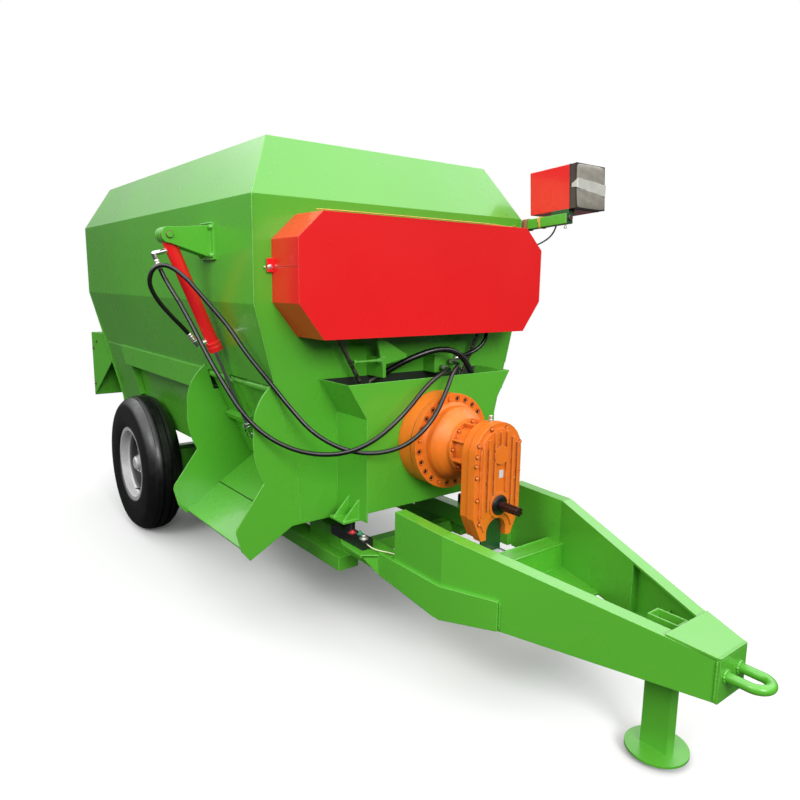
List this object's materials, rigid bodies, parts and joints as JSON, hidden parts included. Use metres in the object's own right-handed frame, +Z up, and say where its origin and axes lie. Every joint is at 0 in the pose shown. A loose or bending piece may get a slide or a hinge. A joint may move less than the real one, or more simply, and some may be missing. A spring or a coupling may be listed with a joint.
{
  "type": "feed mixer wagon",
  "caption": "Trailed feed mixer wagon: open green tub with lying augers, side discharge chute with a cylinder-driven door, front gearbox, drawbar with jack, two wheels.",
  "frame": {"origin": "centre of the tow eye's round end, where the tractor's pin stands", "axes": "+Z up, +Y from the tow eye to the rear, +X to the left side seen along travel; the discharge chute is on the -X side"},
  "size_m": [1.9505, 4.38, 2.046],
  "materials": {
    "green_paint": "gloss",
    "worn_steel": "satin",
    "red_paint": "gloss",
    "orange_casting": "satin",
    "black_rubber": "satin",
    "chain_steel": "satin",
    "black_steel": "satin",
    "chrome": "gloss",
    "shaft_steel": "satin",
    "tyre": "matte",
    "silver_paint": "satin"
  },
  "bodies": {
    "frame": {"front_wall": "green_paint", "rear_wall": "green_paint", "right_wall": "green_paint", "left_wall": "green_paint", "trough": "green_paint", "side_rails": "green_paint", "skirts": "green_paint", "chute_cheeks": "green_paint", "chute_floor": "green_paint", "door_hinge_bar": "green_paint", "cylinder_bracket": "green_paint", "transmission_guard": "green_paint", "rear_guard": "green_paint", "gearbox_stay": "green_paint", "front_bearings": "green_paint", "rear_bearings": "green_paint", "chain_tensioner": "green_paint", "right_drawbar_beam": "green_paint", "left_drawbar_beam": "green_paint", "drawbar_crossmember": "green_paint", "nose_plate": "green_paint", "nose_cover": "green_paint", "tow_eye": "green_paint", "jack_sleeve": "green_paint", "right_chassis_rail": "green_paint", "left_chassis_rail": "green_paint", "chassis_cross_tubes": "green_paint", "tub_feet": "green_paint", "axle_beam": "green_paint", "display_arm": "green_paint", "chain_cover": "red_paint", "display_box": "red_paint", "planetary_gearbox": "orange_casting", "drop_gearbox": "orange_casting", "shaft_seal": "black_rubber", "upper_hose_run": "black_rubber", "lower_hose_run": "black_rubber", "supply_hose": "black_rubber", "wiring_loom": "black_rubber", "display_cable": "black_rubber", "cell_cable": "black_rubber", "drive_chain": "chain_steel", "hose_manifold": "chain_steel", "hose_fittings": "chain_steel", "load_cells": "black_steel"},
    "discharge_door": {"discharge_door": "green_paint"},
    "cylinder_barrel": {"cylinder_barrel": "red_paint", "cylinder_ports": "chrome", "upper_hose_lead": "black_rubber", "lower_hose_loop": "black_rubber"},
    "cylinder_rod": {"cylinder_rod": "chrome"},
    "main_auger": {"main_auger": "worn_steel"},
    "right_upper_auger": {"right_upper_auger": "worn_steel"},
    "left_upper_auger": {"left_upper_auger": "worn_steel"},
    "input_shaft": {"input_shaft": "shaft_steel"},
    "right_wheel": {"right_tyre": "tyre", "right_rim": "silver_paint"},
    "left_wheel": {"left_tyre": "tyre", "left_rim": "silver_paint"},
    "jack_leg": {"jack_leg": "green_paint"}
  },
  "joints": [
    {"name": "left_wheel_spin", "type": "hinge", "parent": "frame", "child": "left_wheel", "pos_m": [0.634, 3.315, -0.0025], "axis": [1, 0, 0], "continuous": true},
    {"name": "right_wheel_spin", "type": "hinge", "parent": "frame", "child": "right_wheel", "pos_m": [-0.634, 3.315, -0.0025], "axis": [1, 0, 0], "continuous": true},
    {"name": "door_swing", "type": "hinge", "parent": "frame", "child": "discharge_door", "pos_m": [-0.612, 1.955, 0.653], "axis": [0, 1, 0], "range_deg": [0, 75]},
    {"name": "barrel_swing", "type": "hinge", "parent": "frame", "child": "cylinder_barrel", "pos_m": [-0.897, 2.015, 1.26], "axis": [0, 1, 0], "range_deg": [0, 17.72]},
    {"name": "rod_slide", "type": "slide", "parent": "cylinder_barrel", "child": "cylinder_rod", "axis": [-0.3779, 0, 0.9259], "range_m": [0, 0.1904]},
    {"name": "main_auger_spin", "type": "hinge", "parent": "frame", "child": "main_auger", "pos_m": [0, 2.805, 0.44], "axis": [0, 1, 0], "continuous": true},
    {"name": "right_upper_auger_spin", "type": "hinge", "parent": "frame", "child": "right_upper_auger", "pos_m": [-0.4, 2.805, 1.095], "axis": [0, 1, 0], "continuous": true},
    {"name": "left_upper_auger_spin", "type": "hinge", "parent": "frame", "child": "left_upper_auger", "pos_m": [0.4, 2.805, 1.095], "axis": [0, 1, 0], "continuous": true},
    {"name": "input_shaft_spin", "type": "hinge", "parent": "frame", "child": "input_shaft", "pos_m": [0, 0.955, 0.24], "axis": [0, 1, 0], "continuous": true},
    {"name": "jack_slide", "type": "slide", "parent": "frame", "child": "jack_leg", "axis": [0, 0, 1], "range_m": [0, 0.15]}
  ],
  "couplings": [
    {"joint": "barrel_swing", "follows": "door_swing", "ratio": 0.23627},
    {"joint": "rod_slide", "follows": "door_swing", "m_per_rad": 0.14545},
    {"joint": "right_upper_auger_spin", "follows": "main_auger_spin", "ratio": 1.25},
    {"joint": "left_upper_auger_spin", "follows": "main_auger_spin", "ratio": 1.25}
  ]
}
